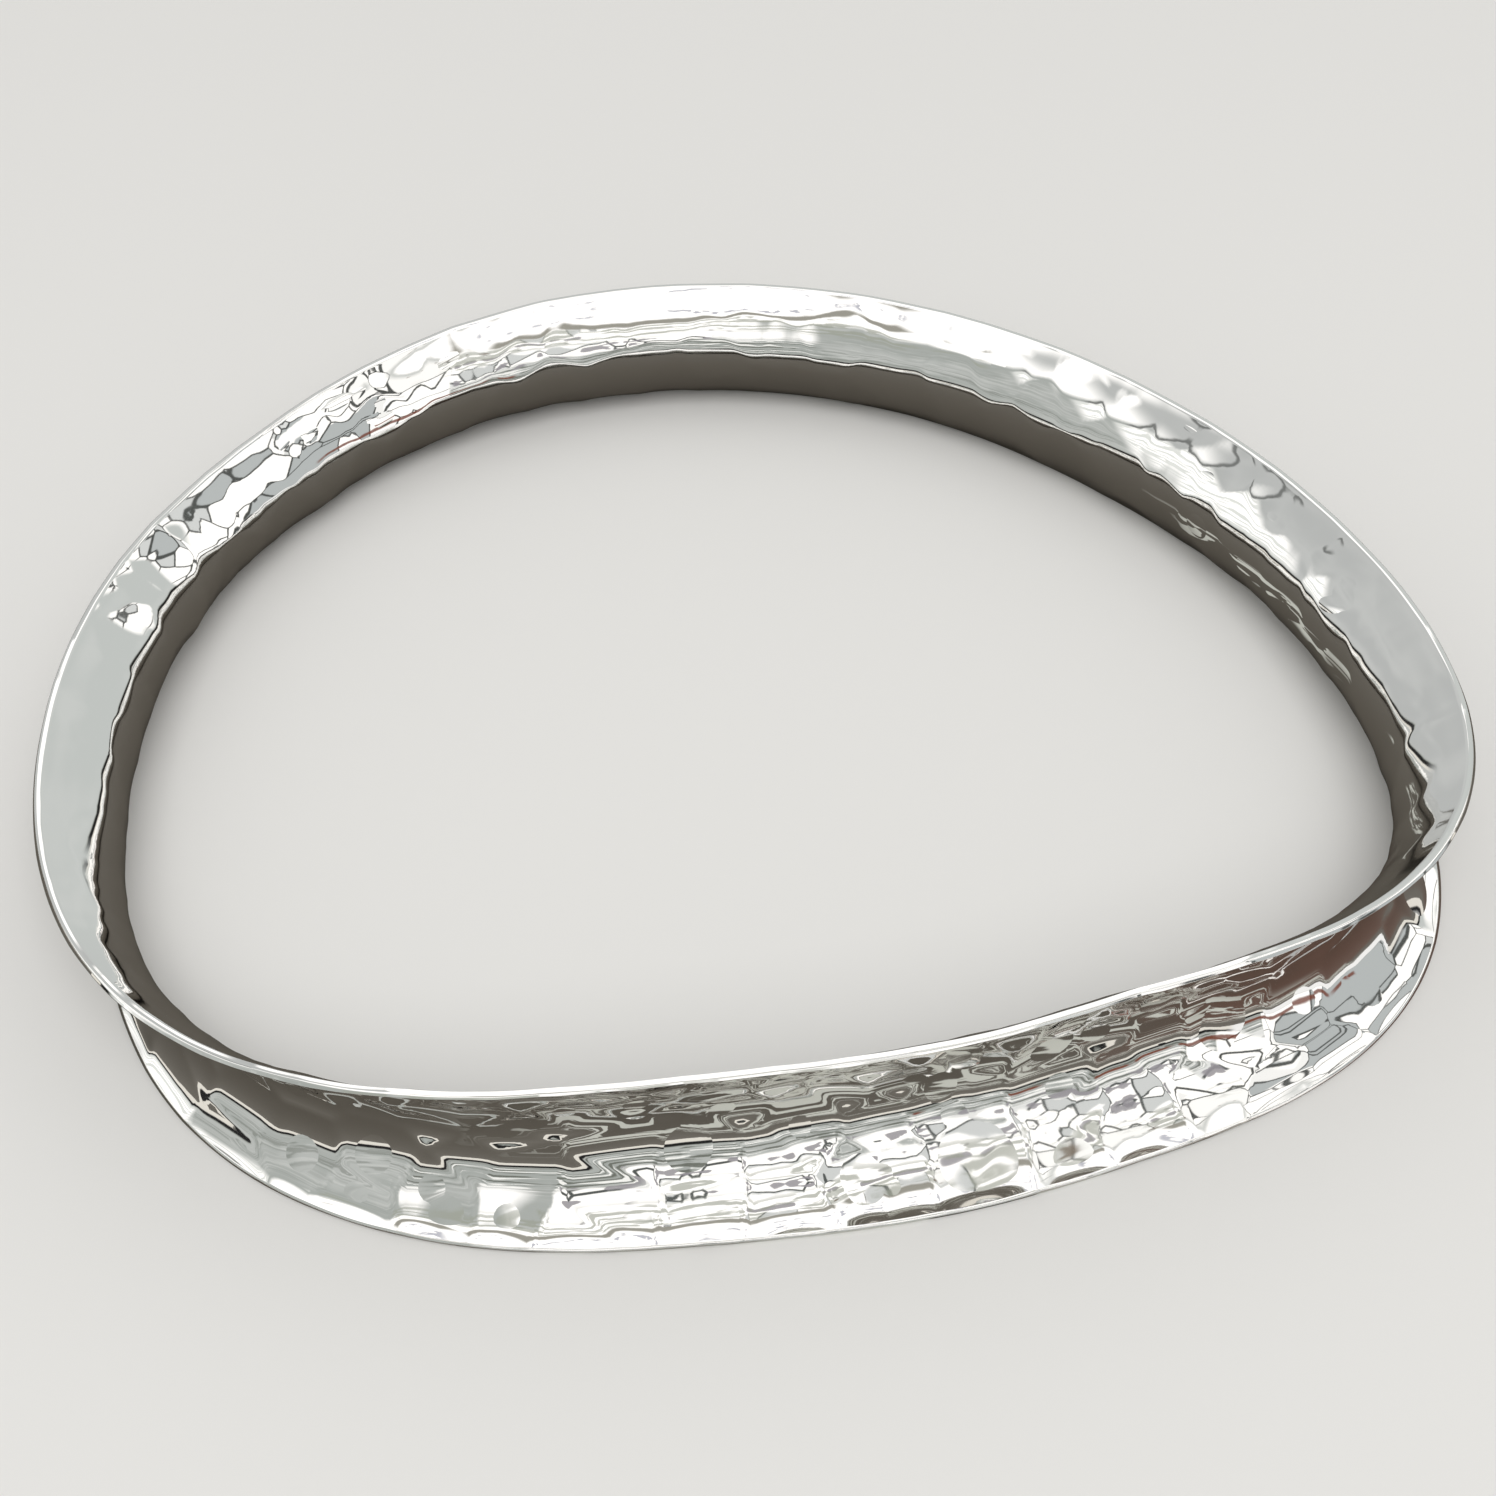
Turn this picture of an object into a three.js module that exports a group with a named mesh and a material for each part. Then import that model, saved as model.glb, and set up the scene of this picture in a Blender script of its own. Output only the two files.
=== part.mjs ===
// A one-piece hammered bangle: a thin metal strip bent into a closed, lopsided oval and flared
// along both edges, so that it is convex towards the wrist and concave outside.
// Millimetres and degrees; +Z up, lying on its lower rim, origin under the middle of its box.
import * as THREE from "three";
import { ParametricGeometry } from "three/addons/geometries/ParametricGeometry.js";
import { mergeVertices } from "three/addons/utils/BufferGeometryUtils.js";

const WALL = 0.5; // thickness of the strip
const RIM_FLAT = 0.35; // width of the flat that each rim's lower or upper corner is dressed to
const AROUND = 120; // steps round the oval
const ACROSS = 16; // steps across the strip, from rim to rim

// One row every 30 degrees, counter-clockwise from +X, about an axis that stands nearer the oval's
// flat side and its tight corner, so that the rows are closest where the band bends most:
//   waist  distance from that axis to the inner face where the hollow is narrowest
//   strip  width of the strip, measured along the section
//   flare  how far each rim's tangent turns out of the vertical
//   lean   tilt of the whole section, outwards at the top
const STATIONS = [
  { waist: 25.6, strip: 10.7, flare: 56, lean: 7 },
  { waist: 25.1, strip: 10.7, flare: 58, lean: 8 },
  { waist: 27.3, strip: 10.4, flare: 56, lean: 10 },
  { waist: 32.2, strip: 10.7, flare: 60, lean: 4 },
  { waist: 37.1, strip: 11.5, flare: 68, lean: -5 },
  { waist: 38.7, strip: 11.9, flare: 70, lean: -16 },
  { waist: 37.6, strip: 10.1, flare: 53, lean: 13 },
  { waist: 35.3, strip: 9.5, flare: 44, lean: -1 },
  { waist: 26.5, strip: 11.5, flare: 45, lean: -13 },
  { waist: 21.4, strip: 12.7, flare: 53, lean: -13 },
  { waist: 21.6, strip: 12.6, flare: 50, lean: -12 },
  { waist: 25.4, strip: 11.3, flare: 50, lean: -7 },
];

// A column of STATIONS at any angle: the smooth periodic curve through its rows.
function at(column, angle) {
  const n = STATIONS.length;
  return STATIONS.reduce((sum, row, i) => {
    const x = angle - (2 * Math.PI * i) / n;
    const s = Math.tan(x / 2);
    const weight = Math.abs(s) < 1e-9 ? 1 : Math.sin((n * x) / 2) / (n * s);
    return sum + row[column] * weight;
  }, 0);
}

// The inner face's waist seen from above, and the outward normal there.
function waistPoint(angle) {
  const r = at("waist", angle);
  return new THREE.Vector2(r * Math.cos(angle), r * Math.sin(angle));
}
function outward(angle) {
  const d = 1e-3;
  const t = waistPoint(angle + d).sub(waistPoint(angle - d));
  return new THREE.Vector2(t.y, -t.x).normalize();
}

// The closed section at an angle, as points (outwards, up) with its lower flat at height 0.
// Its tangent turns fastest at the waist and runs out nearly straight at the rims.
function section(angle) {
  const step = at("strip", angle) / ACROSS;
  const flare = THREE.MathUtils.degToRad(at("flare", angle));
  const lean = THREE.MathUtils.degToRad(at("lean", angle));
  const turn = (i) =>
    lean + flare * Math.sin((Math.PI / 2) * ((2 * i) / ACROSS - 1));

  const inner = [new THREE.Vector2(0, 0)];
  for (let i = 1; i <= ACROSS; i++) {
    const b = turn(i - 0.5);
    const along = new THREE.Vector2(Math.sin(b), Math.cos(b));
    inner.push(inner[i - 1].clone().addScaledVector(along, step));
  }
  const waist = inner[ACROSS / 2].clone();
  inner.forEach((p) => p.sub(waist));
  const outer = inner.map((p, i) => {
    const b = turn(i);
    return new THREE.Vector2(p.x + WALL * Math.cos(b), p.y - WALL * Math.sin(b));
  });

  // Each rim's proud corner is cut back level, RIM_FLAT wide.
  const flatten = (corner, rim, b) => {
    const back = RIM_FLAT * Math.sin(Math.abs(b));
    const up = RIM_FLAT * Math.cos(b);
    const sign = Math.sign(b);
    const cut = corner
      .clone()
      .sub(new THREE.Vector2(Math.sin(b), Math.cos(b)).multiplyScalar(sign * back));
    const onRim = corner.clone().lerp(rim, up / WALL);
    onRim.y = cut.y;
    return [cut, onRim];
  };
  const [lowCut, lowRim] = flatten(inner[0], outer[0], turn(0));
  const [highCut, highRim] = flatten(inner[ACROSS], outer[ACROSS], turn(ACROSS));
  const loop = [
    lowCut,
    ...inner.slice(1, ACROSS),
    highCut,
    highRim,
    ...outer.slice().reverse(),
    lowRim,
  ];
  return loop.map((p) => new THREE.Vector2(p.x, p.y - lowCut.y));
}

// The strip itself: the section carried once round the oval.
function bandGeometry() {
  const rings = [];
  for (let k = 0; k < AROUND; k++) {
    const angle = (2 * Math.PI * k) / AROUND;
    const foot = waistPoint(angle);
    const out = outward(angle);
    rings.push(
      section(angle).map(
        (p) => new THREE.Vector3(foot.x + out.x * p.x, foot.y + out.y * p.x, p.y),
      ),
    );
  }
  const points = rings[0].length;
  const surface = (u, v, target) =>
    target.copy(
      rings[Math.round(v * AROUND) % AROUND][Math.round(u * points) % points],
    );
  const sheet = new ParametricGeometry(surface, points, AROUND);
  sheet.deleteAttribute("normal");
  sheet.deleteAttribute("uv");
  const geometry = mergeVertices(sheet, 1e-4);
  geometry.computeBoundingBox();
  const middle = geometry.boundingBox.getCenter(new THREE.Vector3());
  geometry.translate(-middle.x, -middle.y, 0);
  geometry.computeVertexNormals();
  return geometry;
}

function band() {
  const silver = new THREE.MeshStandardMaterial({
    color: 0xe9e7e2,
    roughness: 0.06,
    metalness: 1,
  });
  const mesh = new THREE.Mesh(bandGeometry(), silver);
  mesh.name = "band";
  return mesh;
}

const bangle = new THREE.Group();
bangle.name = "bangle";
bangle.add(band());

export default bangle;
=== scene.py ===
"""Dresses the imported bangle: its hammered, mirror-polished band, the stage and the camera."""

import math
from collections import namedtuple

import bmesh
import bpy
import numpy as np
from mathutils import Euler, Matrix, Vector


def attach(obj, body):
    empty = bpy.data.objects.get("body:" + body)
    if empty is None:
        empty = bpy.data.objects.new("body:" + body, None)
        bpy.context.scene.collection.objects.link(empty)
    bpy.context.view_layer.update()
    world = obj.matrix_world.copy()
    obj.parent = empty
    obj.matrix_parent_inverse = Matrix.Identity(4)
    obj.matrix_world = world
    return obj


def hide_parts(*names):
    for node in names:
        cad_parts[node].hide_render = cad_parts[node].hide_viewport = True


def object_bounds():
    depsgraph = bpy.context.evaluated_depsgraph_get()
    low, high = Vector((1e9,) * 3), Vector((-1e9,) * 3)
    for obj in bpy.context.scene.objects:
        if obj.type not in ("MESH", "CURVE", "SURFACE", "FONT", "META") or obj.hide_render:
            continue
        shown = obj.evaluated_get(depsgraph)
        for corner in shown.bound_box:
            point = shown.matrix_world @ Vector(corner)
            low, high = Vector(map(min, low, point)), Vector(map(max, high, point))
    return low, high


bl_info = {
    "name": "Hammered Bangle",
    "version": (1, 0, 0),
    "blender": (4, 5, 0),
    "location": "3D View > Sidebar > Bangle",
    "description": "Hammered silver band of a closed bangle, with a studio to show it in",
    "category": "Object",
}

MM = 0.001
WELD = 0.001 * MM  # points of the mesh that lie closer than this are one

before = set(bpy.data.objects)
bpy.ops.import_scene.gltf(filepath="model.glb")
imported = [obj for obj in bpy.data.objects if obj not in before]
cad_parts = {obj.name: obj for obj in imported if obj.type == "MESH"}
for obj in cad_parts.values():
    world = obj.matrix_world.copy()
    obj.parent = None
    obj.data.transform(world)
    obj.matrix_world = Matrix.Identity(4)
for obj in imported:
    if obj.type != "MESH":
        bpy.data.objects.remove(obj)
CAD_LOW, CAD_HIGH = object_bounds()

# The oval every 30 degrees, counter-clockwise from +X, as the solid has it:
#   waist  distance from the plan's axis to the inner face where the hollow is narrowest, in mm
#   strip  width of the strip along the section, in mm
#   flare  how far each rim's tangent turns out of the vertical, in degrees
#   lean   tilt of the whole section, outwards at the top, in degrees
#   inside, outside  how deep each face's relief is, as a multiple of what *_BLOWS gives
#   lip    how far the upper rim's edge is rolled outwards, in mm
Station = namedtuple("Station", "waist strip flare lean inside outside lip")
STATIONS = (
    Station(25.6, 10.7, 56, 7, 0.8, 0.9, 0.0),
    Station(25.1, 10.7, 58, 8, 0.9, 0.9, 0.0),
    Station(27.3, 10.4, 56, 10, 0.8, 0.9, 0.0),
    Station(32.2, 10.7, 60, 4, 0.7, 0.9, 0.0),
    Station(37.1, 11.5, 68, -5, 0.9, 0.9, 0.0),
    Station(38.7, 11.9, 70, -16, 1.0, 0.8, 0.0),
    Station(37.6, 10.1, 53, 13, 0.8, 0.6, 0.0),
    Station(35.3, 9.5, 44, -1, 0.7, 1.0, 0.2),
    Station(26.5, 11.5, 45, -13, 0.8, 1.0, 0.12),
    Station(21.4, 12.7, 53, -13, 0.8, 1.1, 0.1),
    Station(21.6, 12.6, 50, -12, 0.8, 1.1, 0.1),
    Station(25.4, 11.3, 50, -7, 0.8, 1.0, 0.18),
)
LIP_START = 0.72  # where the roll of the lip sets in, as a share from the waist to the rim
CALM_START = 0.8  # where the hammering starts to fade out towards each rim, as the same share
RIM_CUT = (0.2, 0.9)  # least and greatest share of a rim's end face that its level flat cuts off
RIM_STEPS = (0, 0.1, 0.5, 0.9, 1)  # where the points on a flat stand, closer at its soft corners


# ---------------------------------------------------------------- the band's form


def at(column, angles):
    """A column of STATIONS at any angles: the smooth periodic curve through its rows."""
    rows = np.array([getattr(s, column) for s in STATIONS], float)
    n = len(rows)
    x = np.asarray(angles)[:, None] - 2 * np.pi * np.arange(n)[None] / n
    s = np.tan(x / 2)
    flat = np.abs(s) < 1e-9
    weight = np.where(flat, 1.0, np.sin(n * x / 2) / (n * np.where(flat, 1.0, s)))
    return weight @ rows


def waist_points(angles):
    """The inner face's waist seen from above, in mm."""
    r = at("waist", angles)
    return np.stack([r * np.cos(angles), r * np.sin(angles)], -1)


def even_angles(count, fineness=2880):
    """Angles that stand at equal lengths along the waist, those lengths and the whole length, in
    mm."""
    fine = np.linspace(0, 2 * np.pi, fineness + 1)
    steps = np.linalg.norm(np.diff(waist_points(fine), axis=0), axis=1)
    length = np.concatenate([[0], np.cumsum(steps)])
    wanted = np.linspace(0, length[-1], count + 1)[:-1]
    return np.interp(wanted, length, fine), wanted, length[-1]


class Section:
    """The strip's section at each angle. A share of -1 is its lower rim, 0 its waist, 1 its upper
    rim. Points are (outwards from the waist, up from the waist), in mm."""

    FINE = 400  # steps that the section is worked out in, from rim to rim

    def __init__(self, angles):
        self.strip = at("strip", angles)[:, None]
        self.flare = np.radians(at("flare", angles))[:, None]
        self.lean = np.radians(at("lean", angles))[:, None]
        middle = (np.arange(self.FINE) + 0.5) / self.FINE * 2 - 1
        turn = self.turn(middle[None])
        step = self.strip / self.FINE
        path = np.stack([np.sin(turn), np.cos(turn)], -1) * step[..., None]
        path = np.concatenate([np.zeros((len(angles), 1, 2)), np.cumsum(path, 1)], 1)
        self.path = path - path[:, self.FINE // 2][:, None]

    def turn(self, share):
        """Angle of the strip's tangent out of the vertical, in radians."""
        return self.lean + self.flare * np.sin(np.pi / 2 * share)

    def inner(self, share):
        """Points on the inner face."""
        place = np.clip((share + 1) / 2 * self.FINE, 0, self.FINE - 1e-6)
        before = np.floor(place).astype(int)
        part = (place - before)[..., None]
        first = np.take_along_axis(self.path, before[..., None], 1)
        second = np.take_along_axis(self.path, before[..., None] + 1, 1)
        return first * (1 - part) + second * part

    def thick(self, share):
        """Direction from the inner to the outer face."""
        turn = self.turn(share)
        return np.stack([np.cos(turn), -np.sin(turn)], -1)


# ---------------------------------------------------------------- hammer marks

# How a stretch of the strip is hammered:
#   low, high           where the stretch lies, as shares from the lower rim (-1) to the upper (1)
#   spacing, pitch      distance between blows round the oval and across the strip, in mm
#   r_along, r_across   radii of the dish that a blow leaves, in mm
#   stray               how far a blow lands from its place, as a share of the way to the next
#   uneven              spread of the depths of the blows, in mm
Blows = namedtuple("Blows", "low high spacing pitch r_along r_across stray uneven")
INNER_BLOWS = (
    Blows(-1.0, 0.55, 2.8, 2.2, 18, 20, 0.45, 0.035),
    Blows(0.55, 1.0, 3.0, 2.6, 38, 50, 0.3, 0.02),
)
OUTER_BLOWS = (
    Blows(-1.0, -0.05, 2.9, 3.0, 14, 16, 0.25, 0.03),
    Blows(-0.05, 1.0, 2.8, 1.3, 14, 3.2, 0.25, 0.018),
)
Mark = namedtuple("Mark", "along across depth turn r_along r_across")
TURN_SPREAD = 0.25  # spread of the dishes' turns out of the oval's direction, in radians
SIZE_SPREAD = (0.8, 1.3)  # smallest and largest radii, as shares of the ones in *_BLOWS
REACH = 8.0  # how far round the oval a dish is worked out, in mm
SOFTNESS = 0.0015  # how much the ridges between dishes are rounded, in mm
DENT_LENGTHS = (23, 17, 11.5, 8.3, 6.1)  # lengths of the slow dents round the oval, in mm
DENT_LEAN = 1.2  # how much the slow dents lean across the strip, at most


def hammer_marks(rng, length, width, stretches):
    """The blows on a strip that closes on itself: where each landed, in mm, and the dish that it
    left."""
    marks = []
    for b in stretches:
        columns = max(3, round(length / b.spacing))
        rows = max(1, round((b.high - b.low) / 2 * width / b.pitch))
        along, row = np.meshgrid(np.arange(columns), np.arange(rows), indexing="ij")
        along = (along + 0.5 * (row % 2)) * length / columns
        across = (b.low + (row + 0.5) / rows * (b.high - b.low)) * width / 2
        count = along.size
        marks += [Mark(*values) for values in zip(
            along.ravel() + rng.normal(0, b.stray * b.spacing, count),
            across.ravel() + rng.normal(0, b.stray * b.pitch, count),
            rng.normal(0, b.uneven, count),
            rng.normal(0, TURN_SPREAD, count),
            b.r_along * rng.uniform(*SIZE_SPREAD, count),
            b.r_across * rng.uniform(*SIZE_SPREAD, count),
        )]
    return length, marks


def hammered(blows, along, across):
    """How deep the blows have driven the metal at each point, in mm: the deepest blow wins, with
    the ridge between two blows slightly rounded."""
    length, marks = blows
    best = np.full(along.shape, -1e9)
    faces = []
    for m in marks:
        gap = (along - m.along + length / 2) % length - length / 2
        near = np.abs(gap) < REACH
        a, b = gap[near], (across - m.across)[near]
        p = a * math.cos(m.turn) + b * math.sin(m.turn)
        q = b * math.cos(m.turn) - a * math.sin(m.turn)
        dish = p * p / (2 * m.r_along) + q * q / (2 * m.r_across)
        face = m.depth - dish
        best[near] = np.maximum(best[near], face)
        faces.append((near, face))
    total = np.zeros(along.shape)
    for near, face in faces:
        total[near] += np.exp((face - best[near]) / SOFTNESS)
    return best + SOFTNESS * np.log(total)


def swell(rng, along, across, length, height):
    """Slow dents over the strip, as a sum of waves that close round the oval, in mm."""
    total = np.zeros(along.shape)
    for wave in DENT_LENGTHS:
        turns = round(length / wave)
        phase, lean = rng.uniform(0, 2 * np.pi), rng.uniform(-DENT_LEAN, DENT_LEAN)
        total += np.sin(2 * np.pi * turns * along / length + lean * across / 2 + phase)
    return height * total / len(DENT_LENGTHS)


# ---------------------------------------------------------------- making the mesh


def new_piece(name, bm):
    mesh = bpy.data.meshes.new(name)
    bm.to_mesh(mesh)
    bm.free()
    piece = bpy.data.objects.new(name, mesh)
    bpy.context.scene.collection.objects.link(piece)
    return piece


def ramp(share, start):
    """0 up to start, then rising evenly to 1 at the rim."""
    return np.clip((share - start) / (1 - start), 0, 1)


def level_rim(inner, outer, end):
    """From the inner to the outer face over a rim: a level flat, then the rest of the end face,
    both with softened corners. end is the corner that the flat cuts off."""
    share = np.array(RIM_STEPS)[None, :, None]
    across_end = outer - end
    rise = np.where(np.abs(across_end[:, 1]) < 1e-6, -1e-6, across_end[:, 1])
    cut = np.clip((inner[:, 1] - end[:, 1]) / rise, *RIM_CUT)
    meet = end + across_end * cut[:, None]
    flat = inner[:, None] + (meet - inner)[:, None] * share
    rest = meet[:, None] + (outer - meet)[:, None] * share
    return np.concatenate([flat[:, :-1], rest[:, 1:-1]], 1)


def band_surface(s):
    """The band's surface as an array [round the oval, round the section] of points in metres.

    Each face is driven into the wall from its own side, and nothing keeps the two apart: where
    deep marks meet, the faces cross."""
    angles, along, length = even_angles(s.around)
    section = Section(angles)
    wall = s.wall / MM
    width = float(np.max(section.strip))
    rng = np.random.default_rng(s.seed)

    def face(low, high, stretches, strength, outside):
        """One face's points between two shares, and how far each is from the plain inner face."""
        share = low + (high - low) * np.linspace(0, 1, s.across + 1)[None]
        across = share * section.strip / 2
        where = np.broadcast_to(along[:, None], across.shape)
        relief = hammered(hammer_marks(rng, length, width, stretches), where, across)
        relief += swell(rng, where, across, length, s.dent_depth / MM)
        relief -= relief.min()
        relief *= at(strength, angles)[:, None]
        relief *= 1 - s.rim_calm * ramp(np.abs(share), CALM_START) ** 2
        lip = at("lip", angles)[:, None] * ramp(share, LIP_START) ** 2
        depth = lip + (wall - relief if outside else relief)
        return section.inner(share) + section.thick(share) * depth[..., None], depth

    ends = {}
    for sign in (-1, 1):
        turn = section.turn(np.full((len(angles), 1), float(sign)))
        ends[sign] = sign * (1 - 2 * s.rim_flat / MM * np.abs(np.sin(turn)) / section.strip)
    full = np.ones((len(angles), 1))
    inner, cut = face(ends[-1], ends[1], INNER_BLOWS, "inside", False)
    outer, _ = face(-full, full, OUTER_BLOWS, "outside", True)

    def rim(sign):
        """The points over the lower (-1) or the upper (1) rim."""
        index = 0 if sign < 0 else -1
        share = np.full((len(angles), 1), float(sign))
        corner = section.inner(share) + section.thick(share) * cut[:, index][:, None, None]
        return level_rim(inner[:, index], outer[:, index], corner[:, 0])

    loop = np.concatenate([inner, rim(1)[:, 1:], outer[:, ::-1], rim(-1)[:, :0:-1]], 1)
    loop[..., 1] -= loop[..., 1].min(axis=1)[:, None]

    aside = 1e-3
    foot = waist_points(angles)
    tangent = waist_points(angles + aside) - waist_points(angles - aside)
    normal = np.stack([tangent[:, 1], -tangent[:, 0]], -1)
    normal /= np.linalg.norm(normal, axis=1)[:, None]
    plan = foot[:, None] + normal[:, None] * loop[..., :1]
    return np.concatenate([plan, loop[..., 1:]], -1) * MM


class BandSettings(bpy.types.PropertyGroup):
    wall: bpy.props.FloatProperty(
        name="Wall", description="Thickness of the strip before hammering", default=0.5 * MM,
        subtype="DISTANCE", unit="LENGTH")
    around: bpy.props.IntProperty(
        name="Steps around", description="Faces round the oval", default=780)
    across: bpy.props.IntProperty(
        name="Steps across", description="Faces across the strip", default=56)
    rim_flat: bpy.props.FloatProperty(
        name="Rim flat", description="Width of the level flat on each rim", default=0.24 * MM,
        subtype="DISTANCE", unit="LENGTH")
    rim_calm: bpy.props.FloatProperty(
        name="Rim calm", description="How much of the hammering fades out at the rims",
        default=0.75, min=0, max=1, subtype="FACTOR")
    dent_depth: bpy.props.FloatProperty(
        name="Dent depth", description="Height of the slow waves", default=0.03 * MM,
        subtype="DISTANCE", unit="LENGTH")
    seed: bpy.props.IntProperty(name="Seed", description="Seed of the hammering", default=7)
    silver: bpy.props.FloatVectorProperty(
        name="Silver", description="Colour of the metal", default=(0.93, 0.92, 0.905),
        size=3, min=0, max=1, subtype="COLOR")
    polish: bpy.props.FloatProperty(
        name="Polish", description="Roughness of the polished metal", default=0.035,
        min=0, max=1, subtype="FACTOR")


class StageSettings(bpy.types.PropertyGroup):
    floor_size: bpy.props.FloatProperty(
        name="Floor size", description="Side of the floor", default=6.0,
        subtype="DISTANCE", unit="LENGTH")
    floor_colour: bpy.props.FloatVectorProperty(
        name="Floor", description="Colour of the floor", default=(0.8, 0.79, 0.77),
        size=3, min=0, max=1, subtype="COLOR")
    brown_place: bpy.props.FloatVectorProperty(
        name="Brown patch", description="Where the reflected stone turns brown",
        default=(0.044, -0.030, 0), size=3, subtype="XYZ", unit="LENGTH")
    camera_distance: bpy.props.FloatProperty(
        name="Camera distance", description="From the camera to the point that it looks at",
        default=123.6 * MM, subtype="DISTANCE", unit="LENGTH")
    camera_elevation: bpy.props.FloatProperty(
        name="Camera elevation", description="Height of the camera above the horizon",
        default=math.radians(44.82), subtype="ANGLE", unit="ROTATION")
    camera_roll: bpy.props.FloatProperty(
        name="Camera roll", description="Turn of the camera about its own axis",
        default=math.radians(-2.44), subtype="ANGLE", unit="ROTATION")
    camera_lens: bpy.props.FloatProperty(
        name="Lens", description="Focal length of the camera, in mm", default=55.61,
        unit="CAMERA")
    camera_aim: bpy.props.FloatProperty(
        name="Aim", description="How far in front of the middle the camera looks",
        default=0.94 * MM, subtype="DISTANCE", unit="LENGTH")


# ---------------------------------------------------------------- materials


class Graph:
    """Adds nodes to a tree and joins them, so that a formula can be written as one."""

    def __init__(self, tree):
        self.tree = tree

    def link(self, value, socket):
        """Joins an output to a socket, or sets the socket to a plain number or colour."""
        if isinstance(value, bpy.types.NodeSocket):
            self.tree.links.new(value, socket)
        elif isinstance(value, tuple) and socket.type == "RGBA":
            socket.default_value = (*value, 1)
        else:
            socket.default_value = value

    def add(self, kind, *inputs):
        """A node of some kind, with its first inputs joined or set."""
        node = self.tree.nodes.new(kind)
        for value, socket in zip(inputs, node.inputs):
            self.link(value, socket)
        return node

    def math(self, operation, *inputs):
        node = self.add("ShaderNodeMath", *inputs)
        node.operation = operation
        return node.outputs["Value"]

    def product(self, first, *others):
        for other in others:
            first = self.math("MULTIPLY", first, other)
        return first

    def smooth(self, value, low, high):
        """A smooth step from 0 at low to 1 at high, which falls where low is the larger."""
        node = self.add("ShaderNodeMapRange", value, low, high)
        node.interpolation_type = "SMOOTHSTEP"
        return node.outputs["Result"]

    def mix(self, factor, first, second):
        """A colour: the first at factor 0, the second at 1."""
        node = self.tree.nodes.new("ShaderNodeMix")
        node.data_type = "RGBA"
        colours = [socket for socket in node.inputs if socket.type == "RGBA"]
        self.link(factor, node.inputs["Factor"])
        self.link(first, colours[0])
        self.link(second, colours[1])
        return next(socket for socket in node.outputs if socket.type == "RGBA")

    def noise(self, place, scale, detail):
        """A cloudy pattern from 0 to 1."""
        node = self.tree.nodes.new("ShaderNodeTexNoise")
        self.link(place, node.inputs["Vector"])
        self.link(scale, node.inputs["Scale"])
        node.inputs["Detail"].default_value = detail
        return node.outputs["Fac"]

    def ramp(self, value, top, stops):
        """Colours at places from 0 to top."""
        node = self.add("ShaderNodeValToRGB", self.math("DIVIDE", value, top))
        elements = node.color_ramp.elements
        while len(elements) < len(stops):
            elements.new(0.5)
        for element, (place, colour) in zip(elements, stops):
            element.position = place / top
            element.color = (*colour, 1)
        return node.outputs["Color"]


def polish_group():
    """Shader node group: the fine lines that polishing leaves, as a height, and patches of
    softer shine, as a haze."""
    group = bpy.data.node_groups.new("Polish", "ShaderNodeTree")
    for name, default in (("Line scale", 1400.0), ("Haze scale", 90.0)):
        socket = group.interface.new_socket(name, in_out="INPUT", socket_type="NodeSocketFloat")
        socket.default_value = default
    for name in ("Height", "Haze"):
        group.interface.new_socket(name, in_out="OUTPUT", socket_type="NodeSocketFloat")
    g = Graph(group)
    scales = g.add("NodeGroupInput").outputs
    results = g.add("NodeGroupOutput").inputs
    place = g.add("ShaderNodeTexCoord").outputs["Object"]
    g.link(g.noise(place, scales["Line scale"], detail=2.0), results["Height"])
    g.link(g.noise(place, scales["Haze scale"], detail=3.0), results["Haze"])
    return group


def silver_material(s):
    """Mirror-polished silver with faint polishing lines and patches of slightly softer shine."""
    material = bpy.data.materials.new("polished silver")
    material.use_nodes = True
    g = Graph(material.node_tree)
    shader = material.node_tree.nodes["Principled BSDF"]
    shader.inputs["Metallic"].default_value = 1.0
    shader.inputs["Base Color"].default_value = (*s.silver, 1)
    polish = g.add("ShaderNodeGroup")
    polish.node_tree = polish_group()
    rough = g.add("ShaderNodeMapRange", polish.outputs["Haze"])
    rough.inputs["From Min"].default_value = 0.35
    rough.inputs["From Max"].default_value = 0.7
    rough.inputs["To Min"].default_value = 0.6 * s.polish
    rough.inputs["To Max"].default_value = 1.6 * s.polish
    g.link(rough.outputs["Result"], shader.inputs["Roughness"])
    lines = g.add("ShaderNodeBump")
    lines.inputs["Strength"].default_value = 0.08
    lines.inputs["Distance"].default_value = 0.01 * MM
    g.link(polish.outputs["Height"], lines.inputs["Height"])
    g.link(lines.outputs["Normal"], shader.inputs["Normal"])
    return material


# The floor as a mirror sees it: a painted reflection, in colours that only the band's reflections
# show.
PAINTED_REFLECTION_STONE = (0.100, 0.089, 0.073)
PAINTED_REFLECTION_BROWN_STONE = (0.10, 0.052, 0.036)
PAINTED_REFLECTION_VEIN = (0.60, 0.61, 0.56)


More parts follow.
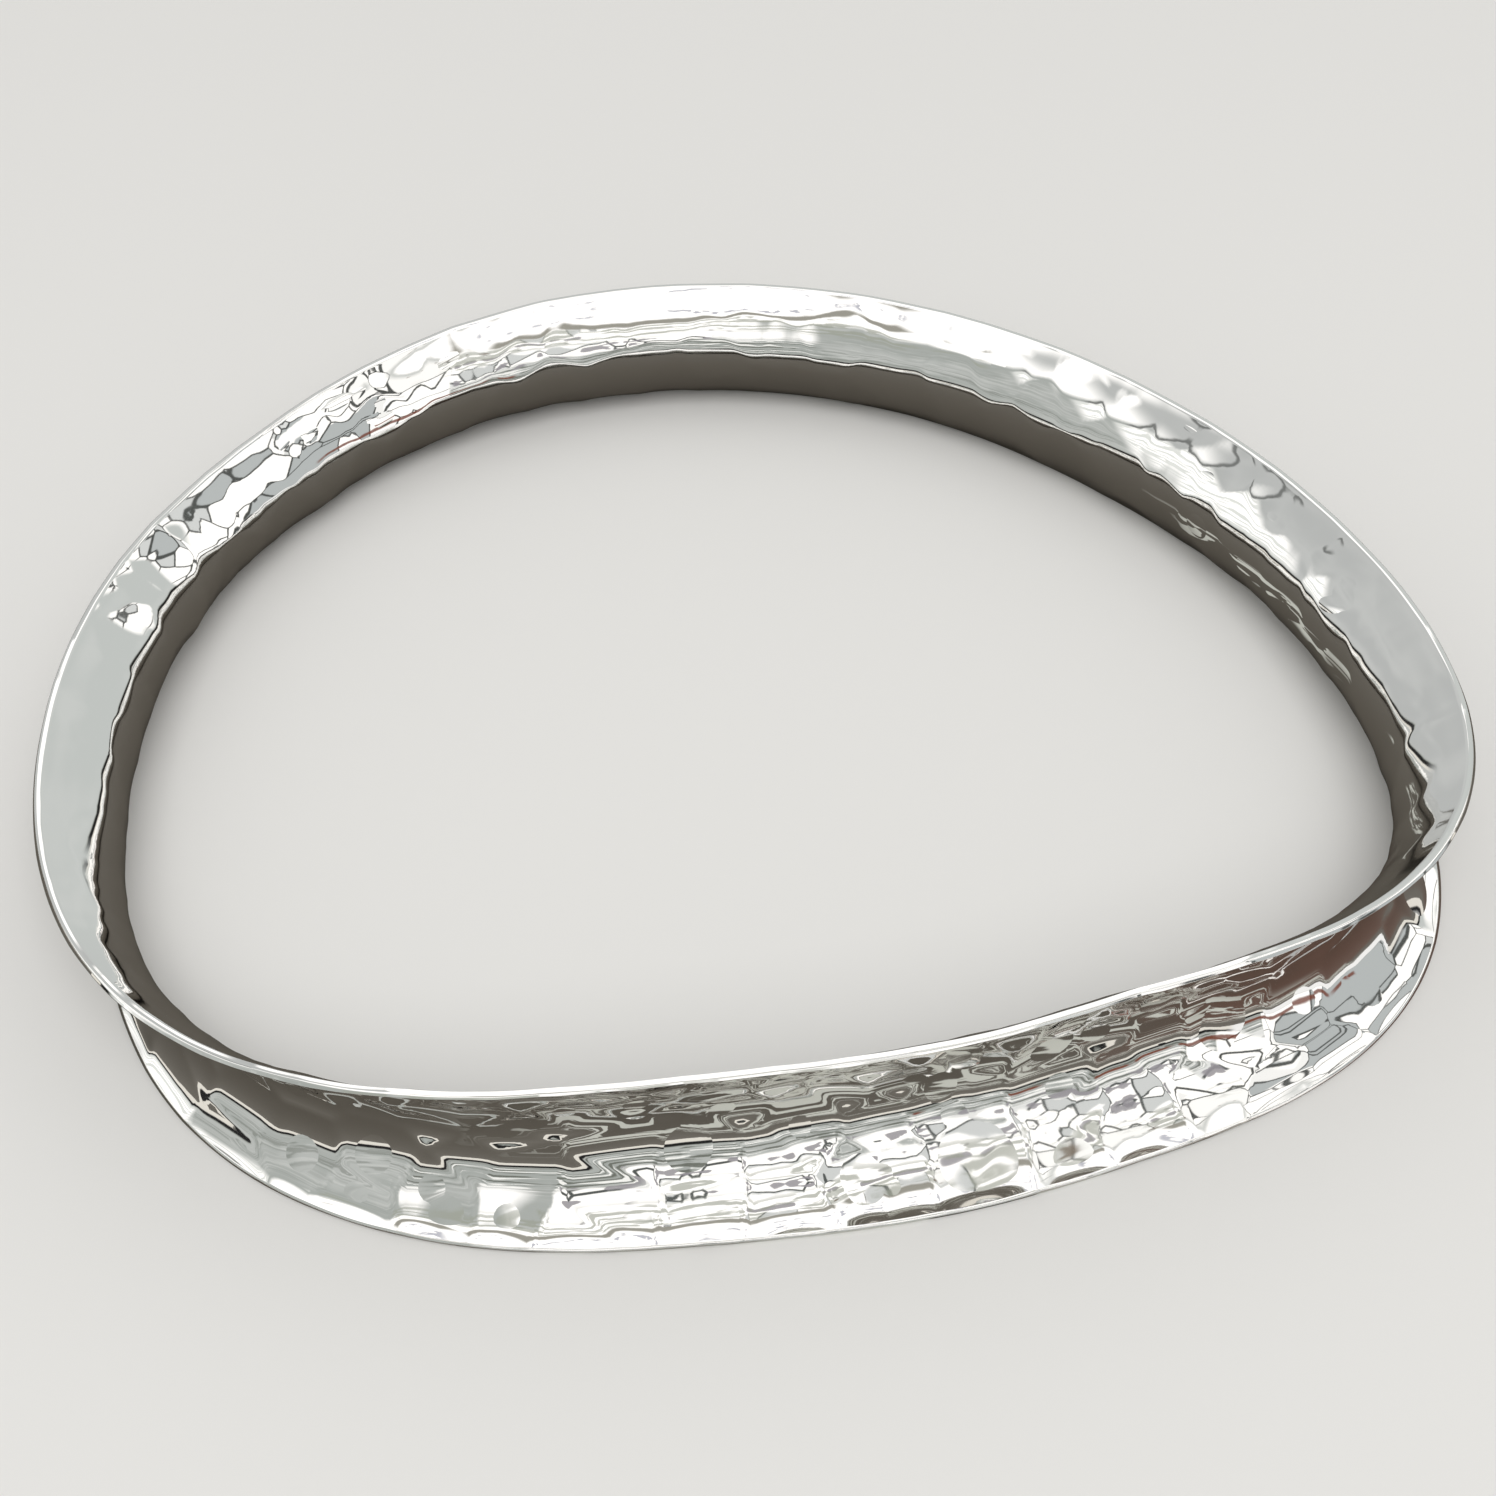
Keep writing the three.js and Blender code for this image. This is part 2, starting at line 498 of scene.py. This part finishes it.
def floor_material(s):
    """A pale matt floor with a painted reflection: only a mirror sees it as dark stone, brown to
    the right, and with pale veins in front of the band and, finer, inside it on the right."""
    material = bpy.data.materials.new("pale floor")
    material.use_nodes = True
    g = Graph(material.node_tree)
    place = g.add("ShaderNodeTexCoord").outputs["Object"]
    x, y = g.add("ShaderNodeSeparateXYZ", place).outputs[:2]

    spot = g.add("ShaderNodeVectorMath", place, tuple(s.brown_place))
    spot.operation = "DISTANCE"
    brown = g.smooth(spot.outputs["Value"], 28 * MM, 12 * MM)
    stone = g.mix(brown, PAINTED_REFLECTION_STONE, PAINTED_REFLECTION_BROWN_STONE)

    # The painted veins, which only the reflection shows, run along the band in front. The ones
    # inside
    #     keep near the line along the band's right side.
    stretched = g.add("ShaderNodeCombineXYZ", g.product(x, 130.0), g.product(y, 420.0))
    vein = g.smooth(g.noise(stretched.outputs["Vector"], scale=1.0, detail=2.0), 0.51, 0.54)
    before = g.product(g.smooth(y, -58 * MM, -46 * MM), g.smooth(y, -24 * MM, -30 * MM),
                       g.smooth(x, -18 * MM, -6 * MM))
    speck = g.smooth(g.noise(place, scale=520.0, detail=1.0), 0.54, 0.57)
    beyond = g.math("SUBTRACT", g.math("ADD", g.product(x, 0.86), g.product(y, 0.5)), 24.5 * MM)
    inside = g.product(g.smooth(g.math("ABSOLUTE", beyond), 2.6 * MM, 1.8 * MM),
                       g.smooth(y, 1 * MM, 4 * MM), g.smooth(y, 15 * MM, 11 * MM))
    veins = g.math("MAXIMUM", g.product(vein, before), g.product(speck, inside))
    stone = g.mix(veins, stone, PAINTED_REFLECTION_VEIN)

    # Painted reflection: glossy rays see the dark stone colours, and all other rays see the pale
    # floor.
    seen = g.add("ShaderNodeLightPath").outputs["Is Glossy Ray"]
    pale = material.node_tree.nodes["Principled BSDF"]
    mirrored = g.add("ShaderNodeBsdfPrincipled")
    g.link(tuple(s.floor_colour), pale.inputs["Base Color"])
    g.link(stone, mirrored.inputs["Base Color"])
    for shader in (pale, mirrored):
        shader.inputs["Roughness"].default_value = 0.9
    both = g.add("ShaderNodeMixShader", seen, pale.outputs[0], mirrored.outputs[0])
    g.link(both.outputs[0], material.node_tree.nodes["Material Output"].inputs["Surface"])
    return material


# ---------------------------------------------------------------- the room

SOFT_DAYLIGHT = (0.62, 0.62, 0.61)  # the even light on the floor
CREAM_LINE = (0.83, 0.80, 0.73)
CREAM_LINE_TOP = (0.80, 0.77, 0.70)
DARK_LINE = (0.02, 0.02, 0.02)
WALL_FOOT = (0.42, 0.44, 0.41)
FRONT_WALL = (0.42, 0.445, 0.425)
LEFT_WALL = (0.50, 0.515, 0.51)
RIGHT_WALL = (0.57, 0.60, 0.585)
PALE_CLOUD = (0.70, 0.715, 0.70)
DARK_STREAK = (0.13, 0.14, 0.115)
BRIGHT_STREAK = (1.0, 1.0, 0.97)
WINDOW = (1.25, 1.24, 1.22)
WINDOW_TINT = (0.62, 0.66, 0.62)
GREY_PANE = (0.50, 0.53, 0.53)
PALE_PANE = (1.20, 1.19, 1.16)
JOINT_BESIDE = (0.09, 0.095, 0.09)
JOINT_BEFORE = (0.10, 0.11, 0.105)
GLARE = (0.95, 0.95, 0.94)
MAUVE = (0.33, 0.315, 0.34)
BLUE_GREY = (0.40, 0.41, 0.49)
GREEN_GREY = (0.36, 0.38, 0.32)
OLIVE = (0.20, 0.19, 0.145)
SILL = (0.10, 0.105, 0.10)
RUST = (0.20, 0.06, 0.035)
BROWN = (0.15, 0.10, 0.055)


class Room(Graph):
    """What a mirror sees in each direction. A direction is told by its side, the angle round
    the horizon from 0 in front through 90 at +X, and by its height above the horizon. Every
    angle is given in degrees."""

    def __init__(self, tree):
        super().__init__(tree)
        self.direction = self.add("ShaderNodeTexCoord").outputs["Generated"]
        self.x, self.y, self.z = self.add("ShaderNodeSeparateXYZ", self.direction).outputs
        self.side = self.math("ARCTAN2", self.x, self.product(self.y, -1.0))
        self.height = self.math("ARCSINE", self.z)
        self.tilted = self.math("ADD", self.height,
                                self.product(self.math("MINIMUM", self.side, 0.0), 0.2))
        wobble = self.math("SUBTRACT", self.noise(self.direction, scale=5.0, detail=2.0), 0.5)
        self.wavy = self.math("ADD", self.height, self.product(wobble, 0.10))
        self.cloud = self.noise(self.direction, scale=2.2, detail=2.0)
        self.streak = self.noise(self.place(2.5, 22.0), scale=1.0, detail=3.0)
        self.front = self.math("ADD", self.product(self.band(self.side, -24, 80, 6, 15), 0.85),
                               self.product(self.band(self.side, -80, 80, 10, 15), 0.15))
        self.colour = self.walls()
        self.streaks()
        self.windows()
        self.panes_beside()
        self.panes_before()
        self.glare()
        self.patches()
        self.lines()

    def step(self, value, low, high):
        return self.smooth(value, math.radians(low), math.radians(high))

    def band(self, value, low, high, soft_low, soft_high):
        """1 between two angles, with soft ends that reach so far to either side of them."""
        return self.product(self.step(value, low - soft_low, low + soft_low),
                            self.step(value, high + soft_high, high - soft_high))

    def place(self, around, up, depth=0.0):
        """The direction as a flat place, stretched along the horizon and upwards. Each depth
        gives a pattern of its own."""
        return self.add("ShaderNodeCombineXYZ", self.product(self.side, around),
                        self.product(self.height, up), depth).outputs["Vector"]

    def paint(self, where, colour):
        """Lays a colour over the room so far."""
        self.colour = self.mix(where, self.colour, colour)

    def walls(self):
        """Pale walls with soft clouds, over a pale and a dark line along the horizon. Straight
        behind the band the walls come down to the floor."""
        lines = self.ramp(self.height, math.radians(90), [
            (math.radians(height), colour) for height, colour in (
                (0.0, CREAM_LINE),
                (2.8, CREAM_LINE_TOP),
                (3.2, DARK_LINE),
                (5.2, DARK_LINE),
                (6.0, WALL_FOOT),
            )])
        behind = self.mix(self.smooth(self.x, -0.3, 0.3), LEFT_WALL, RIGHT_WALL)
        walls = self.mix(self.smooth(self.y, 0.0, 0.35), FRONT_WALL, behind)
        clouds = self.product(self.smooth(self.cloud, 0.42, 0.65), 0.35)
        walls = self.mix(clouds, walls, PALE_CLOUD)
        plain = self.step(self.math("ABSOLUTE", self.side), 146, 156)
        above = self.math("MAXIMUM", self.step(self.height, 5.8, 6.8), plain)
        return self.mix(above, lines, walls)

    def streaks(self):
        """Level streaks low on the walls, dark and bright in front and faint on the left."""
        front = self.product(self.band(self.height, 6.5, 60, 0.5, 10), self.front,
                             self.step(self.tilted, 38, 28))
        left = self.product(self.band(self.side, -80, -20, 10, 6),
                            self.band(self.height, 6.5, 24, 0.5, 6), 0.5)
        dark = self.product(self.smooth(self.streak, 0.51, 0.58),
                            self.math("MAXIMUM", front, left))
        self.paint(self.product(dark, 0.85), DARK_STREAK)
        self.paint(self.product(self.smooth(self.streak, 0.45, 0.40), front), BRIGHT_STREAK)

    def windows(self):
        """Windows in front, high and low on the left, and overhead. The low one is tinted in
        streaks."""
        front = self.product(self.band(self.side, -24, 46, 5, 1.5),
                             self.step(self.tilted, 24, 33))
        sill = self.math("ADD", self.product(self.side, 0.08), 0.156)
        high_left = self.product(self.band(self.side, -112, -20, 14, 4),
                                 self.step(self.math("SUBTRACT", self.height, sill), 50.5, 55.5))
        low_left = self.product(self.band(self.side, -108, -84, 4, 6),
                                self.band(self.height, 8, 51.5, 3, 1))
        overhead = self.step(self.height, 62.5, 65)
        ceiling = self.math("ADD", self.z, self.product(self.y, 0.4))
        ceiling = self.product(self.smooth(ceiling, 0.93, 0.95),
                               self.smooth(self.math("ABSOLUTE", self.x), 0.34, 0.30))
        for window in (front, high_left, low_left, overhead, ceiling):
            self.paint(window, WINDOW)
        tint = self.smooth(self.streak, 0.48, 0.56)
        self.paint(self.product(low_left, tint, 0.7), WINDOW_TINT)

    def panes(self, size, depth, share):
        """Pale panes, of which a share is grey, and the thin joints between them."""
        where = self.place(*size, depth)
        pane = self.add("ShaderNodeTexVoronoi", where)
        edge = self.add("ShaderNodeTexVoronoi", where)
        edge.feature = "DISTANCE_TO_EDGE"
        for node in (pane, edge):
            node.inputs["Scale"].default_value = 1.0
        grey = self.add("ShaderNodeSeparateXYZ", pane.outputs["Color"]).outputs["X"]
        pale = self.smooth(self.math("SUBTRACT", grey, share), -0.08, 0.08)
        joint = self.smooth(edge.outputs["Distance"], 0.030, 0.014)
        return self.mix(pale, GREY_PANE, PALE_PANE), joint

    def panes_beside(self):
        """Panes on the right, more of them grey low down."""
        grey = self.product(self.band(self.side, 58, 97, 3, 3),
                            self.step(self.height, 48, 42), 0.45)
        colour, joint = self.panes((2.6, 3.4), 0.0, self.math("ADD", grey, 0.08))
        leaning = self.math("SUBTRACT", self.side, self.product(self.height, 0.5))
        where = self.product(self.step(self.side, 45, 47), self.band(self.height, 5, 62, 1, 3),
                             self.step(leaning, 114, 111))
        self.paint(where, colour)
        self.paint(self.product(where, joint), JOINT_BESIDE)

    def panes_before(self):
        """Such panes here and there in the front window."""
        colour, joint = self.panes((2.3, 2.5), 2.0, 0.12)
        patchy = self.smooth(self.noise(self.direction, scale=3.0, detail=0.0), 0.46, 0.52)
        where = self.product(self.band(self.side, -24, 46, 2, 1),
                             self.step(self.tilted, 26, 29),
                             self.band(self.height, 0, 66, 1, 2), patchy)
        self.paint(where, colour)
        self.paint(self.product(where, joint), JOINT_BEFORE)

    def glare(self):
        """A glare along the horizon on the right."""
        self.paint(self.product(self.band(self.side, 50, 100, 2, 2),
                                self.band(self.height, -1, 5, 0.1, 0.3)), GLARE)

    def patches(self):
        """Mauve patches in front, blue-grey spots overhead and fine streaks under them."""
        flat = self.add("ShaderNodeMapping", self.direction)
        flat.inputs["Scale"].default_value = (1.0, 1.0, 1.6)
        mauve = self.noise(flat.outputs["Vector"], scale=5.0, detail=1.0)
        mauve = self.product(self.smooth(mauve, 0.600, 0.612),
                             self.band(self.height, 22, 66, 2, 2),
                             self.band(self.side, -10, 44, 4, 1))
        self.paint(self.product(mauve, 0.9), MAUVE)
        spots = self.noise(self.direction, scale=9.0, detail=3.0)
        spots = self.product(self.smooth(spots, 0.58, 0.60),
                             self.band(self.height, 73.5, 86, 1, 1))
        self.paint(self.product(spots, 0.8), BLUE_GREY)
        fine = self.noise(self.place(2.2, 15.0, 9.0), scale=1.0, detail=2.0)
        fine = self.product(self.smooth(fine, 0.49, 0.55), self.band(self.height, 46, 65, 4, 1),
                            self.band(self.side, -60, 50, 10, 10))
        self.paint(self.product(fine, 0.75), GREEN_GREY)

    def lines(self):
        """Wavy lines: an olive one overhead, a sill on the left, a rusty one on the right and
        short brown ones in front."""
        olive = self.product(self.band(self.wavy, 66.0, 71.8, 1.0, 1.2),
                             self.band(self.side, -75, 50, 6, 6))
        self.paint(self.product(olive, 0.85), OLIVE)
        sill = self.product(self.band(self.wavy, 52.0, 53.8, 0.4, 0.8),
                            self.band(self.side, -130, -94, 3, 5))
        self.paint(self.product(sill, 0.8), SILL)
        rust = self.product(self.band(self.wavy, 9, 13, 1, 1),
                            self.band(self.side, 33, 80, 2, 2),
                            self.smooth(self.cloud, 0.45, 0.5))
        self.paint(self.product(rust, 0.9), RUST)
        brown = self.noise(self.place(3.0, 9.0, 4.0), scale=1.0, detail=2.0)
        brown = self.product(self.smooth(brown, 0.62, 0.65),
                             self.band(self.height, 60.5, 63, 0.7, 0.7), self.front)
        self.paint(self.product(brown, 0.8), BROWN)


# ---------------------------------------------------------------- operators


def box(bm):
    """The low and the high corner of a mesh's box."""
    low = Vector([min(v.co[i] for v in bm.verts) for i in range(3)])
    high = Vector([max(v.co[i] for v in bm.verts) for i in range(3)])
    return low, high


class BANGLE_OT_band(bpy.types.Operator):
    """Make the hammered band"""

    bl_idname = "bangle.band"
    bl_label = "Band"

    def execute(self, context):
        s = context.scene.bangle_band
        bm = self.wrap(band_surface(s))
        self.fit(bm)
        piece = new_piece("hammered_band", bm)
        piece.data.materials.append(silver_material(s))
        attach(piece, "root")
        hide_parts("band")
        return {"FINISHED"}

    def wrap(self, surface):
        """A grid wrapped once round the section and once round the oval, and welded shut."""
        rings, points = surface.shape[:2]
        bm = bmesh.new()
        bmesh.ops.create_grid(bm, x_segments=rings, y_segments=points, size=0.5)
        for v in bm.verts:
            ring = round((v.co.x + 0.5) * rings) % rings
            point = round((v.co.y + 0.5) * points) % points
            v.co = surface[ring, point]
        bmesh.ops.remove_doubles(bm, verts=bm.verts, dist=WELD)
        for face in bm.faces:
            face.smooth = True
        bmesh.ops.recalc_face_normals(bm, faces=bm.faces)
        return bm

    def fit(self, bm):
        """Stands the band in the middle of the solid's box, on its floor and no higher."""
        low, high = box(bm)
        middle = (CAD_LOW + CAD_HIGH) / 2 - (low + high) / 2
        bmesh.ops.translate(bm, vec=(middle.x, middle.y, -low.z), verts=bm.verts)
        flatten = min(1, (CAD_HIGH.z - CAD_LOW.z) / (high.z - low.z))
        bmesh.ops.scale(bm, vec=(1, 1, flatten), verts=bm.verts)
        bmesh.ops.translate(bm, vec=(0, 0, CAD_LOW.z), verts=bm.verts)


class BANGLE_OT_stage(bpy.types.Operator):
    """Lay the floor and set the lights and the camera"""

    bl_idname = "bangle.stage"
    bl_label = "Stage"

    def execute(self, context):
        s = context.scene.bangle_stage
        self.lay_floor(s)
        self.light(context.scene)
        self.set_camera(context.scene, s)
        return {"FINISHED"}

    def lay_floor(self, s):
        bm = bmesh.new()
        bmesh.ops.create_grid(bm, x_segments=1, y_segments=1, size=s.floor_size / 2)
        floor = new_piece("floor", bm)
        floor.data.materials.append(floor_material(s))

    def light(self, scene):
        """A soft even light on the floor, and a room that only the mirror sees."""
        world = bpy.data.worlds.new("studio")
        scene.world = world
        world.use_nodes = True
        room = Room(world.node_tree)
        seen = room.add("ShaderNodeLightPath").outputs["Is Glossy Ray"]
        mirrored = world.node_tree.nodes["Background"]
        room.link(room.colour, mirrored.inputs["Color"])
        daylight = room.add("ShaderNodeBackground", SOFT_DAYLIGHT)
        both = room.add("ShaderNodeMixShader", seen, daylight.outputs[0], mirrored.outputs[0])
        room.link(both.outputs[0], world.node_tree.nodes["World Output"].inputs["Surface"])
        self.softbox("key", (0.05, -0.55, 0.70), (0.6, 0.6), 4.0)

    def softbox(self, name, place, size, power):
        lamp = bpy.data.lights.new(name, "AREA")
        lamp.shape = "RECTANGLE"
        lamp.size, lamp.size_y = size
        lamp.energy = power
        obj = bpy.data.objects.new(name, lamp)
        obj.location = place
        obj.rotation_euler = (-Vector(place)).to_track_quat("-Z", "Y").to_euler()
        obj.visible_glossy = False
        bpy.context.scene.collection.objects.link(obj)

    def set_camera(self, scene, s):
        data = bpy.data.cameras.new("camera")
        data.lens = s.camera_lens
        data.sensor_width = 36.0
        data.clip_start = 0.01
        camera = bpy.data.objects.new("camera", data)
        aim = Vector((0, -s.camera_aim, 0))
        away = Vector((0, -math.cos(s.camera_elevation), math.sin(s.camera_elevation)))
        turn = Euler((math.pi / 2 - s.camera_elevation, 0, 0)).to_matrix().to_4x4()
        roll = Matrix.Rotation(s.camera_roll, 4, "Z")
        camera.matrix_world = Matrix.Translation(aim + away * s.camera_distance) @ turn @ roll
        scene.collection.objects.link(camera)
        scene.camera = camera
        scene.view_settings.view_transform = "Standard"


class BANGLE_PT_panel(bpy.types.Panel):
    """The bangle's sizes, colours and build steps"""

    bl_idname = "BANGLE_PT_panel"
    bl_label = "Bangle"
    bl_space_type = "VIEW_3D"
    bl_region_type = "UI"
    bl_category = "Bangle"

    def draw(self, context):
        layout = self.layout
        for settings, operator in (
            (context.scene.bangle_band, BANGLE_OT_band),
            (context.scene.bangle_stage, BANGLE_OT_stage),
        ):
            column = layout.box().column()
            for name in type(settings).__annotations__:
                column.prop(settings, name)
            column.operator(operator.bl_idname)


CLASSES = (
    BandSettings,
    StageSettings,
    BANGLE_OT_band,
    BANGLE_OT_stage,
    BANGLE_PT_panel,
)


def register():
    for cls in CLASSES:
        bpy.utils.register_class(cls)
    bpy.types.Scene.bangle_band = bpy.props.PointerProperty(type=BandSettings)
    bpy.types.Scene.bangle_stage = bpy.props.PointerProperty(type=StageSettings)


def unregister():
    del bpy.types.Scene.bangle_stage
    del bpy.types.Scene.bangle_band
    for cls in reversed(CLASSES):
        bpy.utils.unregister_class(cls)


def main():
    register()
    bpy.ops.bangle.band()
    bpy.ops.bangle.stage()


if __name__ == "__main__":
    main()
